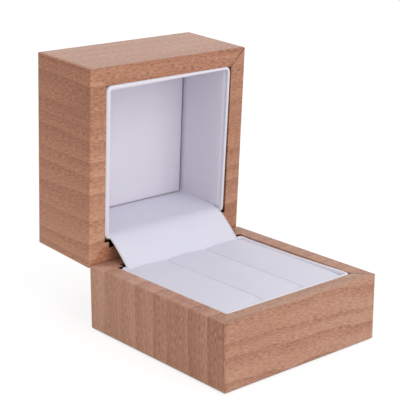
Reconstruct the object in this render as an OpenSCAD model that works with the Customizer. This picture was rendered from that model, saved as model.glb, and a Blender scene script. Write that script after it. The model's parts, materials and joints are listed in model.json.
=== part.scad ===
// Ring display box: two mitred wooden halves on a sprung hinge, lined in white leatherette.
// Millimetres. Origin at the centre of the base's underside, X to the right, Y to the rear, Z up.
// The lid is drawn closed, and lid_place() swings it to its open rest.

/* [Box] */
// Width of the box, side to side
box_w = 75; // [64:1:100]
// Depth of the box, front to rear
box_d = 77.4; // [66:0.1:100]
// Height of the base half
base_h = 26.2; // [24:0.1:34]
// Height of the lid half
lid_h = 35.3; // [30:0.1:46]
// Gap between the two rims when closed
rim_gap = 0.1; // [0.05:0.01:0.3]

/* [Boards] */
// Thickness of the base's front and side walls
base_wall = 6.4; // [5:0.1:7]
// Thickness of the lid's front and side walls
lid_wall = 7; // [5:0.1:8]
// Thickness of the two rear rails that carry the hinge
rail_t = 9.4; // [9:0.1:11]
// Thickness of the base's floor panel
floor_t = 4; // [3:0.1:5]
// Thickness of the lid's top panel
top_t = 6; // [4:0.1:7]
// Clearance round the let-in floor panel
floor_gap = 0.1; // [0.05:0.01:0.2]
// Radius of the upright outer edges
upright_r = 1.3; // [0.8:0.1:2]
// Radius of the edges round the underside and the lid's top
outer_r = 2; // [1:0.1:2.5]
// Radius that the upright edges end in, at the underside and at the lid's top
corner_r = 2.4; // [1.6:0.1:3]
// Radius of the rims' outer edges
rim_r = 0.5; // [0.3:0.1:0.8]
// Radius of the two rear rim edges that roll past each other
hinge_edge_r = 2.2; // [2.1:0.05:2.6]

/* [Hinge] */
// Angle that the lid opens to
open_angle = 86.8; // [80:0.1:90]
// Hinge axis, in from the rear face
pivot_in = 1.26; // [1.2:0.01:1.5]
// Hinge axis, below the base's rim
pivot_down = 0.79; // [0.7:0.01:0.9]
// Diameter of the hinge pin
pin_d = 1.2; // [1:0.05:1.3]
// Radial play of the pin in the knuckles
pin_play = 0.05; // [0.02:0.01:0.08]
// Outer diameter of the knuckles
knuckle_d = 2.5; // [2.3:0.1:2.6]
// Length of the hinge barrel
barrel_l = 44; // [40:1:50]
// Length of one knuckle
knuckle_l = 4.8; // [4:0.1:5.4]
// Thickness of the hinge leaves
leaf_t = 0.6; // [0.5:0.05:0.7]
// Depth of the leaves' webs below the rims
web_drop = 0.5; // [0.4:0.05:0.6]
// Height of the leaves' flanges on the rails
flange_h = 8.5; // [7.5:0.1:9]
// Length of rail that is left at each end of the pocket routed for the leaf
pocket_side = 9.1; // [8:0.1:10]
// Depth of that pocket into the rail
pocket_t = 2.4; // [2:0.1:2.6]
// Clearance between a flange and each end of its pocket
flange_gap = 0.5; // [0.3:0.1:1]
// Reach of a leaf's end tab past its flange
tab_reach = 2.5; // [1.5:0.1:3]
// Depth of the end tabs' edge below the rims
tab_drop = 0.2; // [0.1:0.05:0.4]

/* [Hinge spring] */
// Wire diameter
wire_d = 0.4; // [0.3:0.05:0.45]
// Mean radius of the coil
coil_r = 0.95; // [0.9:0.01:1]
// Pitch of the coil
coil_pitch = 1.2; // [1:0.05:1.4]
// Whole turns of the coil
coil_turns = 11; // [6:1:11]

/* [Hinge screws] */
// Shank diameter
screw_d = 1.5; // [1.2:0.1:1.8]
// Shank length
screw_l = 5; // [4:0.1:6]
// Head diameter
screw_head_d = 2.8; // [2.4:0.1:3.2]
// Head height
screw_head_h = 0.6; // [0.4:0.05:0.8]
// Spacing along the rail
screw_pitch = 20; // [16:0.5:22]

/* [Lining] */
// Thickness of the leatherette
cover_t = 0.45; // [0.3:0.05:0.6]
// Thickness of the base's lining strip, cover included
base_lining_t = 2; // [1.6:0.1:2.4]
// Depth of the base lining's edge below the rim
base_lining_drop = 0.5; // [0.4:0.1:2]
// Depth that the base lining is cut down by under the flap
base_lining_dip = 3; // [2.6:0.1:5]
// Thickness of the lid's lining strip, cover included
lid_lining_t = 1.4; // [1.3:0.1:1.8]
// Radius of the rolled edge round the lid's mouth
roll_r = 1.1; // [0.9:0.05:1.3]
// How far the rolled edge stands out of the lid's rim
roll_proud = 0.5; // [0.3:0.05:0.6]
// Radius of the linings' corners, at the outside
lining_corner_r = 2.6; // [2.2:0.1:4]
// Thickness of the strip under the flap, at the lid's hinge side
lid_rear_lining_t = 0.8; // [0.6:0.1:1]
// Depth from the rim that the strip at the hinge side is cut back to
lid_lining_dip = 4; // [3.4:0.1:6]
// Clearance between lining pieces
lining_gap = 0.05; // [0.03:0.01:0.1]

/* [Hinge flap] */
// Thickness of the sheet
flap_t = 0.6; // [0.4:0.05:0.7]
// How far the flanges show past each side of the sheet
flap_in = 0.2; // [0.1:0.1:2]
// Depth of the tucked end below the base's rim
flap_tuck = 9; // [6:0.5:11]
// Length of the soft bends at the flap's two corners
flap_bend = 3.2; // [2:0.1:4]
// Depth of the flap's upper corner inside the lid's rim
flap_rise = 0.3; // [0:0.1:0.8]
// Depth of the flap's lower corner below the base's rim
flap_sink = 1; // [0.6:0.1:1.6]

/* [Insert] */
// Thickness of the card under the pads
pad_board_t = 1.2; // [0.8:0.1:2]
// Height of a ring pad
pad_h = 13; // [10:0.5:16]
// Depth of the pads' crowns below the rim
pad_drop = 0.8; // [0.6:0.1:2]
// Width that each pad's side is drawn in by
pad_draw = 0.35; // [0.1:0.05:0.6]
// Radius over which a pad's ends round down
pad_end_r = 3.4; // [2:0.1:5]
// Clearance between pads and what stands round them
pad_gap = 0.12; // [0.05:0.01:0.3]

/* [Back panel] */
// Thickness of the card behind the back pad
back_board_t = 0.9; // [0.8:0.1:1.5]
// Thickness of the back pad
back_pad_t = 1.2; // [1:0.1:2.5]
// Clearance round the back pad
back_gap = 0.15; // [0.1:0.01:0.3]

/* [Hidden] */

// Colours
WOOD = "#c4967c";
CARD = "#b9a98c";
FOAM = "#e9e4d2";
LINING = "#e4e2ee";
BLACK_STEEL = "#1b1b1d";
STEEL = "#b4b4b8";

// Facets of round work, and a sliver that carries cuts past faces
ARC = 48;
WIRE_SIDES = 6;
past = 0.5;
// How far the diagonal profiles stand off the upright edges
corner_clear = 0.1;

// Main planes
hw = box_w / 2;
rear_y = box_d / 2;
front_y = -rear_y;
lid_z = base_h + rim_gap;
lid_top_z = lid_z + lid_h;
rail_y = rear_y - rail_t;
pocket_y = rail_y + pocket_t;
pivot = [rear_y - pivot_in, base_h - pivot_down];

// Hinge sizes worked out from the pin
pin_r = pin_d / 2;
knuckle_r = knuckle_d / 2;
bore_r = pin_r + pin_play;
notch_gap = 0.25;
web_gap = 0.1;
web_room = 0.6;
pocket_room = 0.5;
notch_r = knuckle_r + notch_gap;
notch_half = barrel_l / 2 + notch_gap;
knuckle_step = 0.2;
web_half = barrel_l / 2;
web_y = pivot[0] - notch_r - web_gap;
web_notch_y = web_y - web_room;
rim_cut = web_drop + leaf_t;
pocket_h = flange_h + web_drop + pocket_room;
pocket_half = hw - pocket_side;
flange_half = pocket_half - flange_gap;
flap_half = flange_half - flap_in;
tab_t = leaf_t;
tab_half = flange_half + tab_reach;
tab_short = 1;
tab_h = flange_h - tab_short;
screw_down = web_drop + leaf_t + (flange_h - leaf_t) / 2;
screw_r = screw_d / 2;
screw_play = 0.05;

// Lining sizes
base_in = base_wall + base_lining_t;
behind_tabs = rail_t + tab_t + lining_gap;
base_lining_z = base_h - base_lining_drop;
roll_z = lid_z - roll_proud + roll_r;
lid_lining_rear = behind_tabs + lid_rear_lining_t;

// Insert sizes
flap_slot_y = rear_y - behind_tabs - base_lining_t;
flap_y = flap_slot_y - lining_gap - flap_t / 2;
pad_rear_y = flap_slot_y - flap_t - 2 * pad_gap;
pad_front_y = front_y + base_in + pad_gap;
pad_len = pad_rear_y - pad_front_y;
pad_pitch = (box_w - 2 * base_in - pad_gap) / 3;
pad_half = (pad_pitch - pad_gap) / 2;
pad_top_z = base_h - pad_drop;
pad_base_z = pad_top_z - pad_h;
block_top_z = pad_base_z - pad_board_t;

// Back panel sizes
back_z = lid_top_z - top_t - back_board_t;
back_face_z = back_z - back_pad_t;

// A rectangle from the origin with a radius of its own at each corner:
// [left low, right low, right top, left top]
module corner_profile(w, h, r) {
    x = [0, w, w, 0];
    y = [0, 0, h, h];
    sx = [1, -1, -1, 1];
    sy = [1, 1, -1, -1];
    difference() {
        square([w, h]);
        for (i = [0:3])
            translate([x[i] - (sx[i] < 0 ? r[i] : past), y[i] - (sy[i] < 0 ? r[i] : past)])
                square(r[i] + past);
    }
    for (i = [0:3])
        translate([x[i] + sx[i] * r[i], y[i] + sy[i] * r[i]])
            circle(r[i], $fn = ARC);
}

// A prism along X from an outline in Y and Z
module along_x(x0, x1) {
    translate([x0, 0, 0])
        rotate([90, 0, 90])
            linear_extrude(x1 - x0) children();
}

// A prism along Y, to the rear, from an outline in X and Z
module along_y(y0, y1) {
    translate([0, y1, 0])
        rotate([90, 0, 0])
            linear_extrude(y1 - y0) children();
}

// A box between two corners
module span(low, high) {
    translate(low) cube(high - low);
}

// Half the length of the plan's diagonal at 45 degrees, a little over the rounded upright edges
diagonal_half = (hw - front_y - 2 * upright_r) / sqrt(2) + upright_r + corner_clear;

// The rounded block of one half, before it is parted into boards.
// r is [front low, rear low, rear top, front top] in the side view. The corners are rounded once more
// on the diagonals, below where past_low is 0 and above where past_top is 0.
module rounded_half(z0, h, r, past_low, past_top) {
    intersection() {
        translate([0, 0, z0])
            linear_extrude(h)
                translate([-hw, front_y])
                    corner_profile(box_w, box_d, [for (i = [0:3]) upright_r]);
        along_x(-hw, hw)
            translate([front_y, z0]) corner_profile(box_d, h, r);
        along_y(front_y, rear_y)
            translate([-hw, z0]) corner_profile(box_w, h, [r[0], r[0], r[3], r[3]]);
        for (turn = [-45, 45])
            rotate([0, 0, turn])
                along_y(-box_d, box_d)
                    translate([-diagonal_half, z0 - past_low])
                        corner_profile(
                            2 * diagonal_half, h + past_low + past_top, [for (i = [0:3]) corner_r]
                        );
    }
}

module base_block() {
    rounded_half(0, base_h, [outer_r, outer_r, hinge_edge_r, rim_r], 0, corner_r);
}

module lid_block() {
    rounded_half(lid_z, lid_h, [rim_r, hinge_edge_r, outer_r, outer_r], corner_r, 0);
}

// Outline in plan of one mitred board: side is 0 front, 1 right, 2 rear, 3 left
module mitre_plan(side, wall) {
    out = [[-hw, front_y], [hw, front_y], [hw, rear_y], [-hw, rear_y]];
    in_x = hw - wall;
    in_y = front_y + wall;
    in = [[-in_x, in_y], [in_x, in_y], [in_x, rail_y], [-in_x, rail_y]];
    next = (side + 1) % 4;
    polygon([out[side], out[next], in[next], in[side]]);
}

// The lid's top panel is mitred to its walls all round
module lid_panel_space() {
    intersection() {
        along_y(front_y, rear_y)
            polygon([[-hw, lid_top_z], [hw, lid_top_z], [hw - lid_wall, lid_top_z - top_t],
                [lid_wall - hw, lid_top_z - top_t]]);
        along_x(-hw, hw)
            polygon([[front_y, lid_top_z], [rear_y, lid_top_z], [rail_y, lid_top_z - top_t],
                [front_y + lid_wall, lid_top_z - top_t]]);
    }
}

module base_wall_board(side) {
    intersection() {
        base_block();
        linear_extrude(base_h) mitre_plan(side, base_wall);
    }
}

module lid_wall_board(side) {
    difference() {
        intersection() {
            lid_block();
            translate([0, 0, lid_z]) linear_extrude(lid_h) mitre_plan(side, lid_wall);
        }
        lid_panel_space();
    }
}

// Swings the closed lid back to its open rest
module lid_place() {
    translate([0, pivot[0], pivot[1]])
        rotate([-open_angle, 0, 0])
            translate([0, -pivot[0], -pivot[1]])
                children();
}

// A point [y, z] of the closed lid, at its open rest
function at_rest(p) =
    let (d = p - pivot, c = cos(open_angle), s = sin(open_angle))
    pivot + [d[0] * c + d[1] * s, d[1] * c - d[0] * s];

// Base walls

module base_front_wall() {
    color(WOOD) base_wall_board(0);
}

module base_left_wall() {
    color(WOOD) base_wall_board(3);
}

module base_right_wall() {
    color(WOOD) base_wall_board(1);
}

module screw_holes(z, r, y0, y1) {
    for (i = [-1:1])
        translate([i * screw_pitch, y0, z])
            rotate([-90, 0, 0])
                cylinder(r = r, h = y1 - y0, $fn = ARC);
}

module base_rear_rail() {
    color(WOOD)
        difference() {
            base_wall_board(2);
            span([-pocket_half, rail_y - past, base_h - pocket_h], [pocket_half, pocket_y, base_h + past]);
            span([-notch_half, pocket_y - past, base_h - rim_cut], [notch_half, rear_y, base_h + past]);
            span([-notch_half, pivot[0] - notch_r, pivot[1] - notch_r],
                [notch_half, rear_y + past, base_h + past]);
            screw_holes(base_h - screw_down, screw_r + screw_play, pocket_y - past, pocket_y + screw_l);
        }
}

module base_floor() {
    color(WOOD)
        span([base_wall + floor_gap - hw, front_y + base_wall + floor_gap, 0],
            [hw - base_wall - floor_gap, rail_y - floor_gap, floor_t]);
}

// Lid walls and top

module lid_front_wall() {
    color(WOOD) lid_place() lid_wall_board(0);
}

module lid_left_wall() {
    color(WOOD) lid_place() lid_wall_board(3);
}

module lid_right_wall() {
    color(WOOD) lid_place() lid_wall_board(1);
}

module lid_rear_rail() {
    color(WOOD)
        lid_place()
            difference() {
                lid_wall_board(2);
                span([-pocket_half, rail_y - past, lid_z - past], [pocket_half, pocket_y, lid_z + pocket_h]);
                span([-notch_half, pocket_y - past, lid_z - past],
                    [notch_half, rear_y + past, lid_z + rim_cut]);
                screw_holes(lid_z + screw_down, screw_r + screw_play, pocket_y - past, pocket_y + screw_l);
            }
}

module lid_top_panel() {
    color(WOOD)
        lid_place()
            intersection() {
                lid_block();
                lid_panel_space();
            }
}

// Hinge

module knuckle(x) {
    translate([x, pivot[0], pivot[1]])
        rotate([0, 90, 0])
            cylinder(r = knuckle_r, h = knuckle_l, $fn = ARC);
}

// Where the left knuckle of each pair starts, for the base leaf (0) and the lid leaf (1)
function knuckle_x(pair) = -barrel_l / 2 + pair * (knuckle_l + knuckle_step);

module pin_bore() {
    translate([-barrel_l, pivot[0], pivot[1]])
        rotate([0, 90, 0])
            cylinder(r = bore_r, h = 2 * barrel_l, $fn = ARC);
}

// Flange, web and end tabs of a leaf whose rim lies at rim_z. up is 1 in the lid and -1 in the base.
module leaf_plate(rim_z, up) {
    web_low = min(rim_z + up * web_drop, rim_z + up * rim_cut);
    flange_near = rim_z + up * web_drop;
    flange_low = min(flange_near, flange_near + up * flange_h);
    tab_near = rim_z + up * tab_drop;
    tab_low = min(tab_near, tab_near + up * tab_h);
    flange_y = pocket_y - leaf_t;
    tab_y = rail_y - tab_t;
    difference() {
        union() {
            span([-flange_half, flange_y, flange_low], [flange_half, pocket_y, flange_low + flange_h]);
            span([-web_half, flange_y, web_low], [web_half, web_y, web_low + leaf_t]);
            for (x = [-1, 1]) {
                joggle_x = x < 0 ? -flange_half : flange_half - leaf_t;
                tab_x = x < 0 ? -tab_half : flange_half - leaf_t;
                span([joggle_x, tab_y, tab_low], [joggle_x + leaf_t, pocket_y, tab_low + tab_h]);
                span([tab_x, tab_y, tab_low], [tab_x + tab_reach + leaf_t, rail_y, tab_low + tab_h]);
            }
        }
        screw_holes(rim_z + up * screw_down, screw_r + screw_play, flange_y - past, pocket_y + past);
    }
}

// Room for the other leaf's knuckles in a web
module web_notches(pair, z) {
    for (m = [0, 1])
        mirror([m, 0, 0])
            span([knuckle_x(pair) - knuckle_step, web_notch_y, z - past],
                [knuckle_x(pair) + knuckle_l + knuckle_step, web_y + past, z + leaf_t + past]);
}

module hinge_base_leaf() {
    web_low = base_h - rim_cut;
    color(BLACK_STEEL)
        difference() {
            union() {
                difference() {
                    leaf_plate(base_h, -1);
                    web_notches(1, web_low);
                }
                for (m = [0, 1])
                    mirror([m, 0, 0]) {
                        knuckle(knuckle_x(0));
                        span([knuckle_x(0), web_y - leaf_t, web_low],
                            [knuckle_x(0) + knuckle_l, pivot[0], web_low + leaf_t]);
                    }
            }
            pin_bore();
        }
}

module hinge_lid_leaf() {
    web_low = lid_z + web_drop;
    color(BLACK_STEEL)
        lid_place()
            difference() {
                union() {
                    difference() {
                        leaf_plate(lid_z, 1);
                        web_notches(0, web_low);
                    }
                    for (m = [0, 1])
                        mirror([m, 0, 0]) {
                            knuckle(knuckle_x(1));
                            span([knuckle_x(1), web_y - leaf_t, web_low],
                                [knuckle_x(1) + knuckle_l, pivot[0] + leaf_t / 2, web_low + leaf_t]);
                            span([knuckle_x(1), pivot[0] - knuckle_r, pivot[1]],
                                [knuckle_x(1) + knuckle_l, pivot[0] + leaf_t / 2, web_low + leaf_t]);
                        }
                }
                pin_bore();
            }
}

module hinge_pin() {
    color(STEEL)
        translate([-barrel_l / 2, pivot[0], pivot[1]])
            rotate([0, 90, 0])
                cylinder(r = pin_r, h = barrel_l, $fn = ARC);
}

// Pan heads with a cross recess, seated on the flange, shanks to the rear
module screws(z) {
    head_y = pocket_y - leaf_t;
    recess_w = screw_head_d / 2;
    recess_t = screw_head_d / 8;
    for (i = [-1:1])
        translate([i * screw_pitch, 0, z])
            difference() {
                union() {
                    translate([0, head_y - screw_head_h, 0])
                        rotate([-90, 0, 0])
                            cylinder(d = screw_head_d, h = screw_head_h, $fn = ARC);
                    translate([0, head_y - screw_head_h / 2, 0])
                        rotate([-90, 0, 0])
                            cylinder(r = screw_r, h = screw_l, $fn = ARC);
                }
                for (turn = [0, 90])
                    translate([0, head_y - screw_head_h, 0])
                        rotate([0, turn, 0])
                            cube([recess_w, screw_head_h, recess_t], center = true);
            }
}

module hinge_base_screws() {
    color(STEEL) screws(base_h - screw_down);
}

module hinge_lid_screws() {
    color(STEEL) lid_place() screws(lid_z + screw_down);
}

// A tube swept along points in space. Each ring lies square to the path and is turned from one fixed
// direction, which no part of a path follows.
WIRE_UP = [1, 0.02, 0.01];
function unit(v) = v / norm(v);
function path_dir(p, i) = unit(p[min(i + 1, len(p) - 1)] - p[max(i - 1, 0)]);
function ring_at(p, i, r, sides) =
    let (t = path_dir(p, i), a = unit(cross(t, WIRE_UP)), b = cross(t, a))
    [for (k = [0:sides - 1]) p[i] + r * (cos(360 * k / sides) * a + sin(360 * k / sides) * b)];

module tube(p, r, sides) {
    n = len(p);
    pts = [for (i = [0:n - 1]) each ring_at(p, i, r, sides)];
    walls = [for (i = [0:n - 2], k = [0:sides - 1])
        let (a = i * sides + k, b = i * sides + (k + 1) % sides)
        each [[a, b, b + sides], [a, b + sides, a + sides]]];
    caps = [[for (k = [0:sides - 1]) sides - 1 - k], [for (k = [0:sides - 1]) (n - 1) * sides + k]];
    polyhedron(points = pts, faces = concat(walls, caps), convexity = 10);
}

// The coil starts on top of the pin, from a leg on the base's web, and ends at its front, where the
// other leg rises on the lid's web
coil_quarters = 3 + 4 * coil_turns;
coil_l = coil_pitch * coil_quarters / 4;
COIL_RINGS = 8;
leg_gap = 0.05;
base_leg_reach = [5.5, 3];
lid_leg_reach = [4, 6.5];
base_leg_z = base_h - web_drop + wire_d / 2 + leg_gap;
lid_leg_z = lid_z + web_drop - wire_d / 2 - leg_gap;
function coil_point(q) =
    let (a = 90 - 90 * q)
    [coil_pitch * q / 4 - coil_l / 2, pivot[0] + coil_r * cos(a), pivot[1] + coil_r * sin(a)];
function base_leg_point(reach) = [-coil_l / 2, pivot[0] - reach, base_leg_z];
function lid_leg_point(reach) =
    let (p = at_rest([pivot[0] - reach, lid_leg_z]))
    [coil_l / 2, p[0], p[1]];
coil_path = concat([for (reach = base_leg_reach) base_leg_point(reach)],
    [for (i = [0:coil_quarters * COIL_RINGS / 4]) coil_point(i * 4 / COIL_RINGS)],
    [for (reach = lid_leg_reach) lid_leg_point(reach)]);

// Least gap of the wire to itself, between points that are half a turn apart or more
coil_last = len(coil_path) - 1;
coil_gap = min([for (i = [0:coil_last], j = [i + COIL_RINGS / 2:1:coil_last])
    norm(coil_path[i] - coil_path[j])]) - wire_d;

module hinge_spring() {
    echo(coil_gap = coil_gap);
    color(STEEL) tube(coil_path, wire_d / 2, WIRE_SIDES);
}

// The flap's middle line in [y, z]: along the lid's hinge side, over the hinge, down behind the pads
flap_lid_z = rear_y - (lid_lining_rear + lining_gap + flap_t / 2);
flap_seam = at_rest([flap_lid_z, back_face_z - lining_gap]);
flap_lid_corner = at_rest([flap_lid_z, lid_z + flap_rise]);
flap_base_corner = [flap_y, base_h - flap_sink];
flap_end = [flap_y, base_h - flap_tuck];
BEND_STEPS = 8;
function toward(a, b, l) = a + l * unit(b - a);
function bend(a, m, b, t) = (1 - t) * (1 - t) * a + 2 * t * (1 - t) * m + t * t * b;
function bend_run(a, m, b) = [for (i = [0:BEND_STEPS]) bend(a, m, b, i / BEND_STEPS)];
flap_line = concat([flap_seam],
    bend_run(toward(flap_lid_corner, flap_seam, flap_bend), flap_lid_corner,
        toward(flap_lid_corner, flap_base_corner, flap_bend)),
    bend_run(toward(flap_base_corner, flap_lid_corner, flap_bend), flap_base_corner,
        toward(flap_base_corner, flap_end, flap_bend)),
    [flap_end]);
function side_of(p, i, d) = let (t = path_dir(p, i)) p[i] + d * [-t[1], t[0]];

module hinge_flap() {
    n = len(flap_line);
    outline = concat([for (i = [0:n - 1]) side_of(flap_line, i, flap_t / 2)],
        [for (i = [n - 1:-1:0]) side_of(flap_line, i, -flap_t / 2)]);
    color(LINING) along_x(-flap_half, flap_half) polygon(outline);
}

// Linings

// Plan of a strip bent round a rectangle: inset from the outer outline x0..x1, y0..y1
module round_plan(x0, y0, x1, y1, inset) {
    r = lining_corner_r - inset;
    translate([x0 + inset, y0 + inset])
        corner_profile(x1 - x0 - 2 * inset, y1 - y0 - 2 * inset, [for (i = [0:3]) r]);
}

base_x = hw - base_wall - lining_gap;
base_y0 = front_y + base_wall + lining_gap;
base_y1 = rear_y - behind_tabs;
base_cover_h = 10;
dip_room = 0.6;
dip_half = flap_half + dip_room;

// Room that the base's lining leaves for the flap
module base_flap_room() {
    span([-dip_half, base_y1 - base_lining_t - past, base_lining_z - base_lining_dip],
        [dip_half, base_y1 + past, base_h]);
}

module base_ring(inset0, inset1, z0, z1) {
    translate([0, 0, z0])
        linear_extrude(z1 - z0)
            difference() {
                round_plan(-base_x, base_y0, base_x, base_y1, inset0);
                round_plan(-base_x, base_y0, base_x, base_y1, inset1);
            }
}

// A round edge that runs round the rectangle, its middle line inset from the outline
module edge_roll(x, y0, y1, z, inset, r) {
    corner = lining_corner_r - inset;
    mid_x = x - inset;
    mid_y = [y0 + inset, y1 - inset];
    for (m = [0, 1])
        mirror([m, 0, 0]) {
            translate([mid_x, mid_y[0] + corner, z])
                rotate([-90, 0, 0])
                    cylinder(r = r, h = mid_y[1] - mid_y[0] - 2 * corner, $fn = ARC);
            for (i = [0, 1])
                translate([mid_x - corner, i == 0 ? mid_y[0] + corner : mid_y[1] - corner, z])
                    rotate([0, 0, i == 0 ? -90 : 0])
                        rotate_extrude(angle = 90, $fn = ARC) translate([corner, 0]) circle(r, $fn = ARC);
        }
    for (i = [0, 1])
        translate([corner - mid_x, mid_y[i], z])
            rotate([0, 90, 0])
                cylinder(r = r, h = 2 * (mid_x - corner), $fn = ARC);
}

module base_core() {
    base_ring(cover_t, base_lining_t - cover_t, floor_t, base_lining_z - base_lining_t / 2);
}

module base_collar() {
    color(CARD)
        difference() {
            base_core();
            base_flap_room();
        }
}

module base_lining() {
    edge_z = base_lining_z - base_lining_t / 2;
    color(LINING)
        difference() {
            union() {
                base_ring(base_lining_t - cover_t, base_lining_t, floor_t, edge_z);
                base_ring(0, cover_t, edge_z - base_cover_h, edge_z);
                edge_roll(base_x, base_y0, base_y1, edge_z, base_lining_t / 2, base_lining_t / 2);
            }
            base_core();
            base_flap_room();
        }
}

lid_x = hw - lid_wall - lining_gap;
lid_y0 = front_y + lid_wall + lining_gap;
lid_y1 = rear_y - behind_tabs;
lid_far_z = lid_top_z - top_t;
roll_inset = roll_r;

// The lid's strip is thinner on the hinge side, where the flap lies on it
module lid_ring(inset0, inset1, z0, z1) {
    thin = lid_lining_t - lid_rear_lining_t;
    translate([0, 0, z0])
        linear_extrude(z1 - z0)
            difference() {
                round_plan(-lid_x, lid_y0, lid_x, lid_y1 + (inset0 > 0 ? thin : 0), inset0);
                round_plan(-lid_x, lid_y0, lid_x, lid_y1 + thin, inset1);
            }
}

module lid_core() {
    lid_ring(cover_t / 2, lid_lining_t - cover_t, roll_z, lid_far_z);
}

// Room that the lid's strip leaves for the flap at the rim
module lid_flap_room() {
    span([-dip_half, lid_y1 - lid_lining_t - past, lid_z - past],
        [dip_half, lid_y1 + past, lid_z + lid_lining_dip]);
}

module lid_collar() {
    color(CARD)
        lid_place()
            difference() {
                intersection() {
                    lid_core();
                    span([-hw, front_y, lid_z], [hw, lid_y1, lid_top_z]);
                }
                lid_flap_room();
            }
}

// The rolled edge runs round three sides and turns in at the hinge side
module lid_lining() {
    corner = lining_corner_r - roll_inset;
    color(LINING)
        lid_place()
            difference() {
                union() {
                    intersection() {
                        lid_ring(lid_lining_t - cover_t, lid_lining_t, roll_z, lid_far_z);
                        span([-hw, front_y, lid_z], [hw, lid_y1, lid_top_z]);
                    }
                    intersection() {
                        edge_roll(lid_x, lid_y0, lid_y1, roll_z, roll_inset, roll_r);
                        span([-hw, front_y, lid_z - roll_r], [hw, lid_y1 - corner - roll_inset, lid_top_z]);
                    }
                    for (m = [0, 1])
                        mirror([m, 0, 0])
                            translate([lid_x - roll_inset, lid_y1 - corner - roll_inset, roll_z])
                                sphere(roll_r, $fn = ARC);
                }
                lid_core();
                lid_flap_room();
            }
}

// A flat piece inside a lining, its four corners rounded
module panel(half, y0, y1, z0, z1, r) {
    translate([-half, y0, z0])
        linear_extrude(z1 - z0)
            corner_profile(2 * half, y1 - y0, [for (i = [0:3]) r]);
}

lid_panel_r = lining_corner_r - lid_lining_t;

module lid_back_board() {
    gap = lid_lining_t + lining_gap;
    color(CARD)
        lid_place()
            panel(lid_x - gap, lid_y0 + gap, lid_y1 - gap, back_z, lid_far_z, lid_panel_r);
}

module lid_back_pad() {
    gap = lid_lining_t + back_gap;
    far_y = rear_y - lid_lining_rear - flap_t - 2 * lining_gap;
    color(LINING)
        lid_place()
            panel(lid_x - gap, lid_y0 + gap, far_y, back_face_z, back_z, lid_panel_r);
}

// Insert

insert_half = hw - base_in - 2 * lining_gap;
insert_r = lining_corner_r - base_lining_t;

module insert_block() {
    color(FOAM) panel(insert_half, pad_front_y, pad_rear_y, floor_t, block_top_z, insert_r);
}

module pad_board() {
    color(CARD) panel(insert_half, pad_front_y, pad_rear_y, block_top_z, pad_base_z, insert_r);
}

// One pad is a loft of round-backed sections. A section's sides draw in at mid height, its back is
// crowned, and both shrink where the ends round down. The sections lie closest at the ends.
PAD_ARC = 14;
PAD_SIDE = 3;
PAD_RUN = 5;
pad_crown_h = 4;
pad_shape = 4.2;
pad_end_drop = 3.2;
pad_end_in = 0.6;
function power(v, n) = sign(v) * pow(abs(v), n);
function end_fall(d) = d >= pad_end_r ? 0 : 1 - sqrt(1 - pow(1 - d / pad_end_r, 2));
function pad_section(d) =
    let (fall = end_fall(d), half = pad_half - pad_end_in * fall, top = pad_top_z - pad_end_drop * fall,
        knee = pad_top_z - pad_crown_h)
    concat(
        [for (i = [0:PAD_SIDE - 1])
            [half - pad_draw * sin(180 * i / PAD_SIDE), pad_base_z + (knee - pad_base_z) * i / PAD_SIDE]],
        [for (i = [0:PAD_ARC])
            [half * power(cos(180 * i / PAD_ARC), 2 / pad_shape),
                knee + (top - knee) * power(sin(180 * i / PAD_ARC), 2 / pad_shape)]],
        [for (i = [PAD_SIDE - 1:-1:0])
            [pad_draw * sin(180 * i / PAD_SIDE) - half, pad_base_z + (knee - pad_base_z) * i / PAD_SIDE]]);
PAD_END_SHARES = [0, 0.06, 0.16, 0.3, 0.5, 0.72, 1];
pad_near = [for (f = PAD_END_SHARES) f * pad_end_r];
pad_stations = concat(pad_near,
    [for (i = [1:PAD_RUN - 1]) pad_end_r + (pad_len - 2 * pad_end_r) * i / PAD_RUN],
    [for (i = [len(pad_near) - 1:-1:0]) pad_len - pad_near[i]]);

module ring_pad(x) {
    sections = [for (s = pad_stations)
        [for (p = pad_section(min(s, pad_len - s))) [x + p[0], pad_front_y + s, p[1]]]];
    m = len(sections[0]);
    n = len(sections);
    walls = [for (i = [0:n - 2], k = [0:m - 1])
        let (a = i * m + k, b = i * m + (k + 1) % m)
        each [[a, b + m, b], [a, a + m, b + m]]];
    caps = [[for (k = [0:m - 1]) k], [for (k = [0:m - 1]) n * m - 1 - k]];
    polyhedron(points = [for (s = sections) each s], faces = concat(walls, caps), convexity = 4);
}

module ring_pad_left() {
    color(LINING) ring_pad(-pad_pitch);
}

module ring_pad_middle() {
    color(LINING) ring_pad(0);
}

module ring_pad_right() {
    color(LINING) ring_pad(pad_pitch);
}

base_front_wall();
base_left_wall();
base_right_wall();
base_rear_rail();
base_floor();
base_collar();
base_lining();
insert_block();
pad_board();
ring_pad_left();
ring_pad_middle();
ring_pad_right();
hinge_base_leaf();
hinge_base_screws();
hinge_pin();
hinge_spring();
hinge_flap();
lid_front_wall();
lid_left_wall();
lid_right_wall();
lid_rear_rail();
lid_top_panel();
lid_collar();
lid_lining();
lid_back_board();
lid_back_pad();
hinge_lid_leaf();
hinge_lid_screws();
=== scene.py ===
"""Dresses the packed ring display box: beech cases, white leatherette linings, soft ring pads and the
sprung hinge with its flap, on a pale floor.

Lengths below are millimetres, and MM turns them into metres. The settings keep theirs in metres. Lid
pieces are shaped with the lid shut, where the box is square to the axes, and then swung open about the
hinge.
"""

import json
import math
from typing import NamedTuple

import bmesh
import bpy
import numpy as np
from bpy.props import FloatProperty, FloatVectorProperty, PointerProperty
from mathutils import Matrix, Vector, noise


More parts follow.
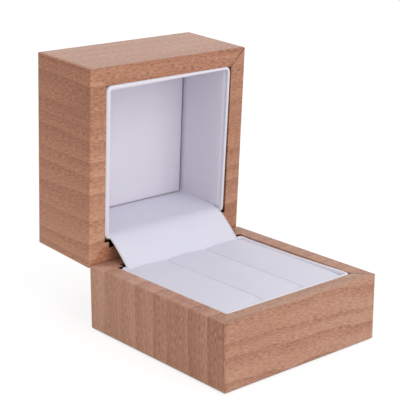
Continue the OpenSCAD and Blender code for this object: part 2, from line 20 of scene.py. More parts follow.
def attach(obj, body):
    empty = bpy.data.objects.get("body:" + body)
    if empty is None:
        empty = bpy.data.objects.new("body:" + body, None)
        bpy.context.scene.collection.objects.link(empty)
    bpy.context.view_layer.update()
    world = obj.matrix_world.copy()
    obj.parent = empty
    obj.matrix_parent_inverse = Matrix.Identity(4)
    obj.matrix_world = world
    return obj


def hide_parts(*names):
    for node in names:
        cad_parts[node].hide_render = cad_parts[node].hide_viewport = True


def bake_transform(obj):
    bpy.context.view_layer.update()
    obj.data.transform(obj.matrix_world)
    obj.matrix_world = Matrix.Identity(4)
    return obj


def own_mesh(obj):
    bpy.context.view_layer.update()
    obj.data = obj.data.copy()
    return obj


bl_info = {
    "name": "Ring display box",
    "version": (1, 0, 0),
    "blender": (4, 5, 0),
    "location": "3D View > Sidebar > Ring box",
    "description": "Builds a wooden ring box's soft pieces and spring, and finishes its boards",
    "category": "Object",
}

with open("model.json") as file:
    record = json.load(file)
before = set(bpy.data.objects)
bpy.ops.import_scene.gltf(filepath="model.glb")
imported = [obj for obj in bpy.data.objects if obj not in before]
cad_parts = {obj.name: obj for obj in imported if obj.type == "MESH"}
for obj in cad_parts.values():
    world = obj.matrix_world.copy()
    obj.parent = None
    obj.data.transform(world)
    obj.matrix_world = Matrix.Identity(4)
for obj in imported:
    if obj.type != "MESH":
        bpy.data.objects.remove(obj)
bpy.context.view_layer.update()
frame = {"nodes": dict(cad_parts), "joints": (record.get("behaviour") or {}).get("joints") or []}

MM = 0.001
LOW, HIGH = 0, 1
X, Y, Z = 0, 1, 2

# The hinge, and how far it stands open at rest
HINGE = next(j for j in frame["joints"] if j["name"] == "lid_hinge")
PIVOT = np.array(HINGE["pos_m"]) / MM
OPEN = math.radians(HINGE["range_deg"][1])


def turned(points, angle):
    """Points turned about the hinge axis, as an array."""
    about = np.array(Matrix.Rotation(angle, 3, "X"))
    return (np.asarray(points, float) - PIVOT) @ about.T + PIVOT


def opened(points):
    """Points of the shut lid, where the open lid has them."""
    return turned(points, -OPEN)


def node_box(node, shut=False):
    """Lowest and highest corner of a CAD node, with the lid open or shut."""
    points = np.array([v.co for v in frame["nodes"][node].data.vertices]) / MM
    points = turned(points, OPEN) if shut else points
    return points.min(0), points.max(0)


# Places read from the frame
HALF_W = node_box("base_right_wall")[HIGH][X]
FRONT = node_box("base_front_wall")[LOW][Y]
REAR = node_box("base_rear_rail")[HIGH][Y]
RIM = node_box("base_front_wall")[HIGH][Z]
LID_RIM = node_box("lid_left_wall", shut=True)[LOW][Z]
BASE_LINING = node_box("base_lining")
LID_LINING = node_box("lid_lining", shut=True)
BACK_PAD = node_box("lid_back_pad", shut=True)

# Corner radius of both linings at the outside, and half the width that they leave for the flap
LINING_CORNER = 2.6
FLAP_ROOM = 28.2
# Height of the back panel's foot over the lid's lowest side
PANEL_FOOT = 11.2

# The photograph's frame, and its camera as found from the box's corners
IMAGE_H = 406
FOCAL_PX = 1238.3
SENSOR = 36
CAMERA_EYE = (-292.4, -323.5, 183.9)
CAMERA_AZIMUTH, CAMERA_ELEVATION = -40.58, 16.82


def srgb(code):
    """A hex colour as it is written in sRGB, turned to the linear values that Blender works in."""
    knee, slope, offset, gamma = 0.04045, 12.92, 0.055, 2.4
    parts = [int(code[i : i + 2], 16) / 255 for i in (1, 3, 5)]
    return tuple(
        c / slope if c <= knee else ((c + offset) / (1 + offset)) ** gamma for c in parts
    )


def colour(name, description, code):
    """A colour that a user may change."""
    return FloatVectorProperty(
        name=name,
        description=description,
        subtype="COLOR",
        size=3,
        min=0,
        max=1,
        default=srgb(code),
    )


def length(name, description, millimetres):
    """A length that a user may change. It is kept in metres."""
    return FloatProperty(
        name=name,
        description=description,
        default=millimetres * MM,
        min=0,
        precision=5,
        unit="LENGTH",
        subtype="DISTANCE",
    )


class BoxWood(bpy.types.PropertyGroup):
    """The beech boards."""

    light: colour("Light wood", "Early wood between the growth bands", "#c79a80")
    middle: colour("Middle wood", "The boards' main colour", "#b38167")
    dark: colour("Dark wood", "Late wood along the growth bands", "#946349")
    # This colour also paints shade along the boards' round lower edges
    joint_and_shade: colour("Mitre line", "Dust and lacquer in the open mitres", "#4a2a1c")
    joint_w: length("Mitre line width", "Width of the dark line at a mitre", 0.3)
    crepe_h: length("Crepe", "Height of the standing fibres under the lacquer", 0.06)


class BoxLining(bpy.types.PropertyGroup):
    """The leatherette linings, back panel and flap, and what is inside them."""

    white: colour("Lining", "Coated face of the linings and the back panel", "#e5e2eb")
    cool: colour("Flap and pads", "Coated face of the flap and the ring pads", "#e2e1ee")
    # The card is coloured a dark brown, darker than its greyboard, as painted shade in the gap where
    # the lid's lining leans in from the wood
    card: colour("Card", "Cut edge of the card strips and boards", "#7d6048")
    foam: colour("Foam", "Cut face of the foam block", "#e9e4d2")
    cover_t: length("Cover thickness", "Thickness of the leatherette", 0.45)
    base_strip: length("Base strip", "Thickness of the base's lining strip", 2)
    lid_strip: length("Lid strip", "Thickness of the lid's lining strip", 1.4)
    roll: length("Rolled edge", "Radius of the edge round the lid's mouth", 1)
    lean: length("Lean", "How far the lid's lining leans in at its lower right", 1.3)
    flap_t: length("Flap thickness", "Thickness of the hinge flap's sheet", 0.5)
    grain: length("Grain", "Spacing of the embossed grain", 0.45)


class BoxPads(bpy.types.PropertyGroup):
    """The three ring pads."""

    arch: length("Arch", "Height of a pad's back over its two long edges", 0.55)
    shoulder: length("Shoulder", "Radius along a pad's two long edges", 0.8)
    draw: length("Draw", "How far a pad's sides are drawn in", 0.3)
    front: length("Front fall", "Length over which a pad falls to its front end", 9)
    rear: length("Rear end", "Radius of a pad's rear end", 1)
    fill: FloatProperty(
        name="Fill",
        description="How tight the foam fills its cover, 0 slack and 1 tight",
        default=0.8,
        min=0,
        max=1,
        subtype="FACTOR",
    )


class BoxHinge(bpy.types.PropertyGroup):
    """The hinge's metal."""

    black: colour("Black steel", "Blackened leaves of the hinge", "#17171a")
    steel: colour("Plain steel", "Pin, screws and spring wire", "#b7b7bb")
    wire: length("Wire", "Diameter of the spring wire", 0.4)
    coil: length("Coil radius", "Mean radius of the spring's coil", 0.95)
    pitch: length("Pitch", "Pitch of the spring's coil", 1.2)


class BoxStage(bpy.types.PropertyGroup):
    """Floor and light."""

    floor: colour("Floor", "Paper that the box stands on", "#f4f4f6")
    sky: FloatProperty(
        name="Sky",
        description="Strength of the even light from all round",
        default=0.74,
        min=0,
    )
    key: FloatProperty(
        name="Key light",
        description="Power of the large soft lamp at the front right",
        default=2.62,
        min=0,
        unit="POWER",
    )


SETTINGS = {
    "ring_box_wood": BoxWood,
    "ring_box_lining": BoxLining,
    "ring_box_pads": BoxPads,
    "ring_box_hinge": BoxHinge,
    "ring_box_stage": BoxStage,
}


def settings(group):
    """One group of settings, as they stand on the scene."""
    return getattr(bpy.context.scene, group)


def add(tree, kind, sockets=(), **options):
    """Adds one shader node. options are its own properties, and sockets are its inputs, in order or by
    name or number: a value is set on the socket, and another node or one of its outputs is linked."""
    node = tree.nodes.new(f"ShaderNode{kind}")
    for name, value in options.items():
        setattr(node, name, value)
    for name, value in sockets.items() if isinstance(sockets, dict) else enumerate(sockets):
        if isinstance(value, bpy.types.Node):
            value = value.outputs[0]
        if isinstance(value, bpy.types.NodeSocket):
            tree.links.new(value, node.inputs[name])
        else:
            node.inputs[name].default_value = value
    return node


def new_material(name, base=(1, 1, 1)):
    """A material that has no nodes yet, and its tree."""
    material = bpy.data.materials.new(name)
    material.use_nodes = True
    material.diffuse_color = (*base, 1)
    material.node_tree.nodes.clear()
    return material, material.node_tree


def shade(tree, sockets):
    """Ends a material's tree with its shader, which gets the values that are the same all over and the
    nodes of those that aren't."""
    shader = add(tree, "BsdfPrincipled", sockets)
    add(tree, "OutputMaterial", [shader])


def place_in_mm(tree, lid=False, shift=(0, 0, 0)):
    """The surface's place in millimetres, taken from the object so that it moves with it. For the lid
    it is the place that it has when shut."""
    place = add(tree, "TexCoord").outputs["Object"]
    if lid:
        place = add(tree, "VectorRotate", [place, PIVOT * MM, (1, 0, 0), OPEN])
    return add(tree, "VectorMath", [place, (1 / MM,) * 3, shift], operation="MULTIPLY_ADD")


def tinted(base, factor):
    """A colour made lighter or darker, as a node socket takes it."""
    return (*[min(1.0, c * factor) for c in base], 1.0)


# Where the pattern of each leatherette piece starts, so that no two are alike
LEATHERETTE_SEEDS = {
    "base_lining": 1.0,
    "lid_lining": 17.0,
    "back_panel": 33.0,
    "pads": 51.0,
    "flap": 71.0,
}


def leatherette(piece, cool=False):
    """Polyurethane leatherette, calendered and finely embossed: a satin white with a cool lilac cast,
    whose grain only softens its gloss."""
    look = settings("ring_box_lining")
    white = look.cool if cool else look.white
    seed = LEATHERETTE_SEEDS[piece]
    # Faint clouds this wide, as a wiped coating has, and what they do to the tint and the roughness
    cloud, dimmest, brightest, glossiest, dullest = 8, 0.97, 1.02, 0.5, 0.58
    relief, relief_share = 0.02 * MM, 0.12

    material, tree = new_material(f"leatherette_{piece}", white)
    place = place_in_mm(tree, shift=(seed, -seed, 2 * seed))
    clouds = add(tree, "TexNoise", {"Vector": place, "Scale": 1 / cloud, "Detail": 2})
    tint = add(
        tree,
        "Mix",
        {0: clouds, 6: tinted(white, dimmest), 7: tinted(white, brightest)},
        data_type="RGBA",
    )
    # The real grain is near 0.2 mm, and is drawn coarser so that a render can hold it
    grain = add(tree, "TexVoronoi", {"Vector": place, "Scale": MM / look.grain})
    shade(
        tree,
        {
            "IOR": 1.5,
            "Specular IOR Level": 0.35,
            "Sheen Weight": 0.05,
            "Base Color": tint.outputs[2],
            "Roughness": add(tree, "MapRange", [clouds, 0, 1, glossiest, dullest]),
            "Normal": add(
                tree, "Bump", {"Height": grain, "Strength": relief_share, "Distance": relief}
            ),
        },
    )
    return material


class Board(NamedTuple):
    """How a board's veneer lies, with the lid shut. Both ways are given for the outer face, and carry
    the figure over the rim's edge."""

    along: tuple  # way of the grain
    across: tuple  # way across the grain
    seed: int  # where the figure starts, so that no two boards are alike
    # The outer face's tint is partly the leaf's own tone and partly painted light and shade: lighter on
    # the open lid's upward face, darker on the lid's left face
    warm: tuple = (1, 1, 1)  # tint of the outer face
    # The rim's tint is partly the edge's own tone and partly painted light and sheen on the rims
    rim: tuple = (1, 1, 1)  # tint of the rim
    fibre: tuple = (0.45, 3.2)  # fibres to a millimetre, along the grain and across it
    wave: float = 1.5  # how far the figure swings to either side
    curl: float = 0.02  # how many such swings to a millimetre
    bands: float = 0.12  # growth bands to a millimetre
    late: float = 1  # share of a band over which it pales
    deep: float = 0.42  # how strongly the bands show
    # Painted light: the board pales towards its rear as the light falls across it
    painted_light_drift: float = 0  # how much the board pales to a millimetre towards its rear


# Each board's face and rim tints hold painted light and shade as well as its own tone, and its paling
# towards the rear is painted light
BOARDS = {
    "base_front_wall": Board(
        along=(1, 0, 0),
        across=(-0.05, -1, -1),
        warm=(0.97, 0.95, 0.96),
        wave=4,
        curl=0.045,
        late=0.5,
        seed=3,
    ),
    "base_left_wall": Board(
        along=(-1, 0, -1),
        across=(0, -1, 0),
        warm=(1.0, 0.95, 0.94),
        rim=(1.12, 1.12, 1.15),
        bands=0.1,
        painted_light_drift=0.004,
        seed=11,
    ),
    "base_right_wall": Board(along=(1, 0, -1), across=(0, 1, 0), rim=(1.03, 0.98, 0.93), seed=27),
    "base_rear_rail": Board(
        along=(1, 0, 0), across=(0, 1, -1), warm=(1, 0.98, 0.95), curl=0.03, seed=41
    ),
    "base_floor": Board(along=(1, 0, 0), across=(0, 1, 0), seed=59),
    "lid_front_wall": Board(
        along=(1, 0, 0.1),
        across=(0, -1, 1),
        warm=(1.1, 1.08, 1.08),
        rim=(0.96, 0.88, 0.83),
        fibre=(0.5, 2.4),
        deep=0.22,
        seed=67,
    ),
    "lid_left_wall": Board(
        along=(-1, 0, 1),
        across=(0, 1, 0),
        warm=(0.93, 0.77, 0.64),
        rim=(1.11, 1.09, 1.05),
        bands=0.135,
        deep=0.45,
        painted_light_drift=0.004,
        seed=83,
    ),
    "lid_right_wall": Board(along=(1, 0, 1), across=(0.1, 1, 0.1), rim=(0.99, 0.94, 0.9), seed=97),
    "lid_rear_rail": Board(
        along=(1, 0, 0), across=(0, 1, 1), rim=(1.2, 1.07, 0.98), curl=0.03, seed=109
    ),
    "lid_top_panel": Board(along=(1, 0, 0), across=(0, 1, 0), seed=127),
}


def figure(tree, source, seed, *layers):
    """Layers of noise from 0 to 1, drawn out along the grain. Each layer is given as its cells to a
    millimetre along the grain and across it, its detail, and its shift from the seed."""
    made = []
    for along, across, detail, shift in layers:
        drawn = add(
            tree,
            "VectorMath",
            [source, (along, across, 0), (seed + shift,) * 3],
            operation="MULTIPLY_ADD",
        )
        made.append(add(tree, "TexNoise", {"Vector": drawn, "Scale": 1, "Detail": detail}))
    return made


def veneer(tree, place, rearward, board):
    """The sliced veneer's figure: its tone from dark wood at 0 to light wood at 1, its crepe of
    standing fibres, and its slow ripple."""
    run, width = (
        add(tree, "VectorMath", [place, way], operation="DOT_PRODUCT").outputs["Value"]
        for way in (board.along, board.across)
    )
    straight = add(tree, "CombineXYZ", [run, width])
    swing, ripple, pace, broad = figure(
        tree,
        straight,
        board.seed,
        (board.curl, 0.035, 1, 0),
        (0.5, 0.35, 1, 7),
        (0.004, 0.06, 1, 17),
        (0.01, 0.05, 1, 5),
    )
    # The fibres swing to and fro across the board, and the growth bands with them
    ripple_reach, pace_reach, fray = 0.3, 16, 1.2
    swung = add(tree, "Math", [swing, 2 * board.wave, width], operation="MULTIPLY_ADD")
    rippled = add(tree, "Math", [ripple, ripple_reach, swung], operation="MULTIPLY_ADD")
    # Real fibres are finer than the render can hold, and are drawn about 0.3 by 2.2 mm
    lines, crepe = figure(
        tree,
        add(tree, "CombineXYZ", [run, rippled]),
        board.seed,
        (0.04, 0.9, 2, 13),
        (*board.fibre, 2, 29),
    )
    # Each band starts dark and pales. Some are wider or stronger, and the fibres fray their edges.
    paced = add(tree, "Math", [pace, pace_reach, swung], operation="MULTIPLY_ADD")
    frayed = add(tree, "Math", [crepe, fray, paced], operation="MULTIPLY_ADD")
    counted = add(tree, "Math", [frayed, board.bands], operation="MULTIPLY")
    band = add(tree, "Math", [counted], operation="FRACT")
    growth = add(tree, "MapRange", [band, 0, board.late, -0.5, 0.5])
    faint_at, strong_at, faintest = 0.3, 0.65, 0.25
    strength = add(tree, "MapRange", [broad, faint_at, strong_at, faintest, 1])
    growth = add(tree, "Math", [growth, strength], operation="MULTIPLY")

    # What each layer adds to the middle tone: its share, and its own middle, which adds nothing
    shares = (
        (growth, board.deep, 0),
        # Painted light, paling the board towards its rear
        (rearward, board.painted_light_drift, 0),
        (broad, 0.3, 0.5),
        (lines, 0.45, 0.5),
        (crepe, 1.9, 0.5),
    )
    tone = 0.5 - sum(share * middle for _, share, middle in shares)
    for layer, share, _ in shares:
        tone = add(tree, "Math", [layer, share, tone], operation="MULTIPLY_ADD")
    return tone, crepe, ripple


def dark_lines(tree, place, lid, on_rim, ripple):
    """How dark a board is with dust in its joints and with wear, from 0 to 1."""
    line_w = settings("ring_box_wood").joint_w / MM
    x, y, z = place
    aside = add(tree, "Math", [x], operation="ABSOLUTE")

    # Dark line along the front mitres on the rim, strong on the right, where the joints have opened
    diagonal, waver, core = math.sqrt(0.5), 0.5, 0.3
    closed, open_wide, middle_w = 0.06, 0.95, 10
    both = add(tree, "Math", [aside, y], operation="ADD")
    corner = -diagonal * (HALF_W + FRONT)
    off = add(tree, "Math", [both, diagonal, corner], operation="MULTIPLY_ADD")
    off = add(tree, "Math", [off], operation="ABSOLUTE")
    off = add(tree, "Math", [ripple, waver, off], operation="MULTIPLY_ADD")
    strength = add(tree, "MapRange", [x, -middle_w, middle_w, closed, open_wide])
    mean = waver / 2
    mitre = add(tree, "MapRange", [off, mean + core * line_w, mean + line_w, strength, 0])
    mitre = add(tree, "Math", [mitre, on_rim], operation="MULTIPLY")

    # Seam on the side faces, where the front's veneer ends that is turned round the corner
    seam_y, seam_dark = (1.3, 0.25) if lid else (1.0, 0.4)
    seam_core, seam_w = 0.05, 0.3
    side_from, side_to = HALF_W - 0.5, HALF_W - 0.1
    on_side = add(tree, "MapRange", [aside, side_from, side_to, 0, seam_dark])
    away = add(tree, "Math", [y, FRONT + seam_y], operation="SUBTRACT")
    away = add(tree, "Math", [away], operation="ABSOLUTE")
    seam = add(tree, "MapRange", [away, seam_core, seam_w, on_side, 0])

    # Painted shade along the round lower edges, which face the floor
    bare, full, fades, ends, edge_shade_dark = 0.01, 0.1, 0.3, 1, 0.75
    edge_shade = add(tree, "MapRange", [z, fades, ends, edge_shade_dark, 0])
    edge_shade = add(tree, "MapRange", [z, bare, full, 0, edge_shade])

    joints = add(tree, "Math", [mitre, seam], operation="MAXIMUM")
    return add(tree, "Math", [joints, edge_shade], operation="MAXIMUM")


def beech(node, board):
    """Sliced steamed beech veneer under an open satin lacquer: warm pink-brown with soft wavy growth
    bands. The lacquer lets the short fibres stand, so the face has a fine crepe along the grain, and a
    thin haze where it is seen at a low angle."""
    look = settings("ring_box_wood")
    lid = node.startswith("lid")
    rim_z, inward = (LID_RIM, 1) if lid else (RIM, -1)
    rim_edge, rim_end = rim_z + 0.2 * inward, rim_z + 0.6 * inward
    dark_at, middle_at, light_at = 0.1, 0.5, 0.9
    glossiest, dullest, relief_share = 0.38, 0.52, 0.6

    material, tree = new_material(f"beech_{node}", look.middle)
    place = place_in_mm(tree, lid)
    axes = add(tree, "SeparateXYZ", [place]).outputs
    tone, crepe, ripple = veneer(tree, place, axes[Y], board)
    ramp = add(tree, "ValToRGB", [tone])
    stops = ramp.color_ramp.elements
    stops[0].position, stops[0].color = dark_at, (*look.dark, 1)
    stops[1].position, stops[1].color = light_at, (*look.light, 1)
    stops.new(middle_at).color = (*look.middle, 1)
    on_rim = add(tree, "MapRange", [axes[Z], rim_edge, rim_end, 1, 0])
    # Painted light and shade: the face's and the rim's tints, which also hold the leaf's own tone
    cast = add(
        tree, "Mix", {0: on_rim, 6: (*board.warm, 1), 7: (*board.rim, 1)}, data_type="RGBA"
    )
    wood = add(
        tree, "Mix", {0: 1, 6: ramp, 7: cast.outputs[2]}, data_type="RGBA", blend_type="MULTIPLY"
    )
    # Dark dust in the joints, and painted shade along the lower edges
    dark = dark_lines(tree, axes, lid, on_rim, ripple)
    lined = add(
        tree, "Mix", {0: dark, 6: wood.outputs[2], 7: (*look.joint_and_shade, 1)}, data_type="RGBA"
    )
    shade(
        tree,
        {
            "IOR": 1.5,
            "Specular IOR Level": 0.3,
            "Sheen Weight": 0.25,
            "Sheen Roughness": 0.4,
            "Base Color": lined.outputs[2],
            "Roughness": add(tree, "MapRange", [crepe, 0, 1, glossiest, dullest]),
            "Normal": add(
                tree, "Bump", {"Height": crepe, "Strength": relief_share, "Distance": look.crepe_h}
            ),
        },
    )
    return material


def metal(name, base, roughness, specks):
    """Steel strip or wire, drawn and plated: bare plating is bright and satin, and blackened steel
    shows soft black with cloudy gloss. specks is the number of clouds to a millimetre."""
    dimmest, brightest, spread = 0.8, 1.15, 0.08
    material, tree = new_material(name, base)
    place = place_in_mm(tree)
    clouds = add(tree, "TexNoise", {"Vector": place, "Scale": specks, "Detail": 3})
    tint = add(
        tree,
        "Mix",
        {0: clouds, 6: tinted(base, dimmest), 7: tinted(base, brightest)},
        data_type="RGBA",
    )
    gloss = add(tree, "MapRange", [clouds, 0, 1, roughness - spread, roughness + spread])
    shade(tree, {"Metallic": 1, "Base Color": tint.outputs[2], "Roughness": gloss})
    return material


def matt(name, base, cell, depth, streak=(1, 1, 1)):
    """Pressed card or cut foam: matt, with cells or fibres `cell` millimetres across that show as a
    fine speckle and a rough face."""
    dimmest, brightest, relief_share = 0.75, 1.15, 0.6
    material, tree = new_material(name, base)
    place = add(tree, "VectorMath", [place_in_mm(tree), streak], operation="MULTIPLY")
    cells = add(tree, "TexNoise", {"Vector": place, "Scale": 1 / cell, "Detail": 4})
    tint = add(
        tree,
        "Mix",
        {0: cells, 6: tinted(base, dimmest), 7: tinted(base, brightest)},
        data_type="RGBA",
    )
    bump = add(
        tree, "Bump", {"Height": cells, "Strength": relief_share, "Distance": depth * MM}
    )
    shade(
        tree,
        {
            "Roughness": 0.9,
            "Specular IOR Level": 0.2,
            "Base Color": tint.outputs[2],
            "Normal": bump,
        },
    )
    return material


def finish_nodes(material, *nodes):
    """Gives CAD nodes a material in place of their plain one."""
    for node in nodes:
        mesh = frame["nodes"][node].data
        mesh.materials.clear()
        mesh.materials.append(material)


def ring_faces(rings, around, joined=True):
    """Quads between rings of `around` points each. joined closes the last ring on the first, and
    otherwise the two ends are capped."""
    faces = []
    for i in range(rings if joined else rings - 1):
        a, b = i * around, (i + 1) % rings * around
        for k in range(around):
            n = (k + 1) % around
            faces.append((a + k, a + n, b + n, b + k))
    if not joined:
        faces.append(tuple(range(around)))
        faces.append(tuple(range((rings - 1) * around, rings * around)))
    return faces


def new_piece(name, points, faces, material, body=None):
    """A smooth closed mesh from points in millimetres, riding on a CAD body unless it is to be
    blended."""
    mesh = bpy.data.meshes.new(name)
    mesh.from_pydata((np.asarray(points, float) * MM).tolist(), [], faces)
    shape = bmesh.new()
    shape.from_mesh(mesh)
    bmesh.ops.recalc_face_normals(shape, faces=shape.faces)
    shape.to_mesh(mesh)
    shape.free()
    mesh.shade_smooth()
    mesh.materials.append(material)
    obj = bpy.data.objects.new(name, mesh)
    bpy.context.scene.collection.objects.link(obj)
    if body:
        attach(obj, body)
    return obj


def smoothstep(x, low=0.0, high=1.0):
    """0 below low, 1 above high, and an S between them."""
    t = min(1.0, max(0.0, (x - low) / (high - low)))
    return t * t * (3 - 2 * t)


def mix(a, b, share):
    """a at share 0 and b at share 1."""
    return a + (b - a) * share


def soft_noise(point, size, seed=0.0):
    """Smooth noise from -1 to 1 whose swells are about `size` millimetres across."""
    return noise.noise(Vector(point) / size + Vector((seed, 2 * seed, -seed)))


def smooth_run(points, step):
    """Points at about even steps along the Catmull-Rom curve through hand-set points."""
    p = np.asarray(points, float)
    p = np.vstack([2 * p[0] - p[1], p, 2 * p[-1] - p[-2]])
    out = []
    for i in range(1, len(p) - 2):
        a, b, c, d = p[i - 1 : i + 3]
        n = max(1, round(float(np.linalg.norm(c - b)) / step))
        for t in np.arange(n) / n:
            pull = (c - a) * t + (2 * a - 5 * b + 4 * c - d) * t**2
            out.append(b + 0.5 * (pull + (3 * b - a - 3 * c + d) * t**3))
    out.append(p[-2])
    return np.array(out)


def normals(run):
    """Unit normals to the right of travel along a flat curve."""
    d = np.gradient(np.asarray(run, float), axis=0)
    d /= np.linalg.norm(d, axis=1)[:, None]
    return np.column_stack([d[:, 1], -d[:, 0]])


def shell(run, thickness):
    """The closed outline of a sheet whose outer face is the run, with its body to the right of it."""
    run = np.asarray(run, float)
    return np.vstack([run, (run + thickness * normals(run))[::-1]])


def round_walk(x0, y0, x1, y1, radius, straight=24, arc=9):
    """Places and outward normals once round a rectangle with round corners, from its rear left corner
    over its left side. Every walk has as many stops, whatever its size."""
    corners = [
        (x0 + radius, y1 - radius, 90),
        (x0 + radius, y0 + radius, 180),
        (x1 - radius, y0 + radius, 270),
        (x1 - radius, y1 - radius, 360),
    ]
    stops = []
    for cx, cy, start in corners:
        for i in range(arc + 1):
            a = math.radians(start + 90 * i / arc)
            stops.append(
                (cx + radius * math.cos(a), cy + radius * math.sin(a), math.cos(a), math.sin(a))
            )
    walk = []
    for i, (here, there) in enumerate(zip(stops, stops[1:] + stops[:1])):
        n = straight if i % (arc + 1) == arc else 1
        for t in np.arange(n) / n:
            # The normal holds along a side, and turns from stop to stop round a corner
            x, y = mix(here[X], there[X], t), mix(here[Y], there[Y], t)
            walk.append((x, y, *here[2:]))
    return walk


# Outward normals with more than this much of Y are on the hinge side
HINGE_SIDE = 0.9


def base_lining(white):
    """The base's lining: a card strip wrapped in leatherette, seen as a round white edge. It stands a
    little over the rim at the front and sits lower at the right. Under the flap it is pressed down, and
    as the lid shuts the whole edge is pressed in."""
    look = settings("ring_box_lining")
    low, high = BASE_LINING
    radius = look.base_strip / MM / 2
    # Height of the edge's crest at the rear and at the front of each side, and the places between
    # which these run into one another
    left, left_front, right, right_front = RIM + 0.05, RIM + 0.2, RIM - 0.45, RIM + 0.1
    rear_y, front_y, left_x, right_x = 12, -31, 12, 31
    # How much higher the right rear corner is, and where that begins and is reached
    corner_up, corner_from, corner_to = 0.3, 22, 28
    # How far the wrap goes down behind the card, how far and over what run the flap presses the edge,
    # and the share of the height that the shut lid leaves
    tuck, dip, dip_run, pressed_share = 9.0, 2.4, 2.0, 0.96
    swell, swell_size, seed = 0.05, 9, 4
    # Stops down the outer and the inner side, as depths under the round edge
    turn_steps, outer_drops, inner_drops = 12, (tuck, tuck / 2, 0.4), (0.5, 2, 6)
    points = []
    walk = round_walk(low[X], low[Y], high[X], high[Y], LINING_CORNER)
    for x, y, nx, ny in walk:
        to_front, to_right = smoothstep(-y, -rear_y, -front_y), smoothstep(x, left_x, right_x)
        crest = mix(
            mix(left, left_front, to_front), mix(right, right_front, to_front**2), to_right
        )
        crest += corner_up * smoothstep(y, corner_from, corner_to) * to_right
        pressed = smoothstep(FLAP_ROOM - abs(x), 0, dip_run) if ny > HINGE_SIDE else 0
        soft = swell * soft_noise((x, y, 0), swell_size, seed)
        top = crest - radius - dip * pressed + soft
        run = [(0, top - drop) for drop in outer_drops]
        for i in range(turn_steps + 1):
            a = math.pi * (1 - i / turn_steps)
            run.append((radius + radius * math.cos(a), top + radius * math.sin(a)))
        for z in (*(top - drop for drop in inner_drops), (top + low[Z]) / 2, low[Z]):
            run.append((2 * radius, z))
        for inset, z in shell(run, look.cover_t / MM):
            points.append((x - nx * inset, y - ny * inset, z))
    faces = ring_faces(len(walk), len(points) // len(walk))
    piece = new_piece(
        "base_lining_cover", points, faces, white, "base"
    )
    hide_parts("base_lining")
    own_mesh(piece)
    return piece


def lid_lining(white):
    """The lid's lining: a card strip wrapped in leatherette, whose edge is rolled round the lid's
    mouth. The roll is slimmer towards the right, where the strip leans in from the wood, and it turns
    in under the flap at both lower corners."""
    look = settings("ring_box_lining")
    low, high = LID_LINING
    strip, roll = look.lid_strip / MM, look.roll / MM
    # Radius of the roll at the right, in the lower corners and under the flap, and the strip there
    right_roll, corner_roll, thin_roll, thin_strip = 0.55 * roll, 0.66 * roll, 0.42, 0.8
    thin_z, thin_run = LID_RIM + 4.4, 1.5
    # How far the wrap goes up behind the card, and over what height the roll runs into the strip
    tuck, settle = 2.4, 1.8 * roll
    # Degrees round a lower corner over which the strip turns in, and the creases that it gets there
    turn_from, turn_to, crease, creases = 10, 85, 0.06, 9
    swell, swell_size, seed = 0.05, 7, 8
    # The lean's share at the front and at the rear, the height that it fades over, and where the roll
    # reaches its right size
    lean_front, lean_rear, lean_from, lean_to, right_margin = 0.62, 1.05, 1, 15, 3
    half_turn, cover_share = 12, 0.55
    points = []
    walk = round_walk(low[X], low[Y], high[X], high[Y], LINING_CORNER)
    for x, y, nx, ny in walk:
        # 0 along the three open sides, and 1 where the strip has turned into the hinge side
        turn = math.degrees(math.atan2(ny, abs(nx)))
        turned_in = smoothstep(turn, turn_from, turn_to)
        hidden = smoothstep(FLAP_ROOM - abs(x), 0, thin_run) if ny > HINGE_SIDE else 0
        r = mix(roll, right_roll, smoothstep(x, low[X], high[X] - right_margin))
        r = mix(mix(r, corner_roll, turned_in), thin_roll, hidden)
        face = mix(strip, thin_strip, turned_in)
        z = mix(low[Z] + r, thin_z, hidden)
        creased = crease * math.sin(creases * math.radians(turn)) * (0 < turn < 90)
        soft = creased + swell * soft_noise((x, y, 0), swell_size, seed)
        run = [(0, z + tuck), (0, z + tuck / 2)]
        # The roll goes round by a half turn and half as much again
        for i in range(half_turn * 3 // 2 + 1):
            a = math.pi * (1 - i / half_turn)
            run.append((r + r * math.cos(a), z - (r + soft) * math.sin(a)))
        last_in, last_z = run[-1]
        for step in (0.15, 0.3, 0.5, 0.7, 0.85, 1):
            run.append((mix(last_in, face, smoothstep(step)), last_z + settle * step))
        for step in (0.2, 0.5, 0.8, 1):
            run.append((face, mix(last_z + settle, high[Z], step)))
        lean_share = mix(lean_front, lean_rear, smoothstep(y, low[Y], high[Y]))
        for inset, depth in shell(run, -min(look.cover_t / MM, cover_share * r)):
            fade = 1 - smoothstep(depth - low[Z], lean_from, lean_to)
            lean = look.lean / MM * lean_share * max(0.0, nx) * fade
            points.append((x - nx * inset - lean, y - ny * inset, depth))
    faces = ring_faces(len(walk), len(points) // len(walk))
    piece = new_piece(
        "lid_lining_cover", opened(points), faces, white, "lid"
    )
    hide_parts("lid_lining")
    return piece


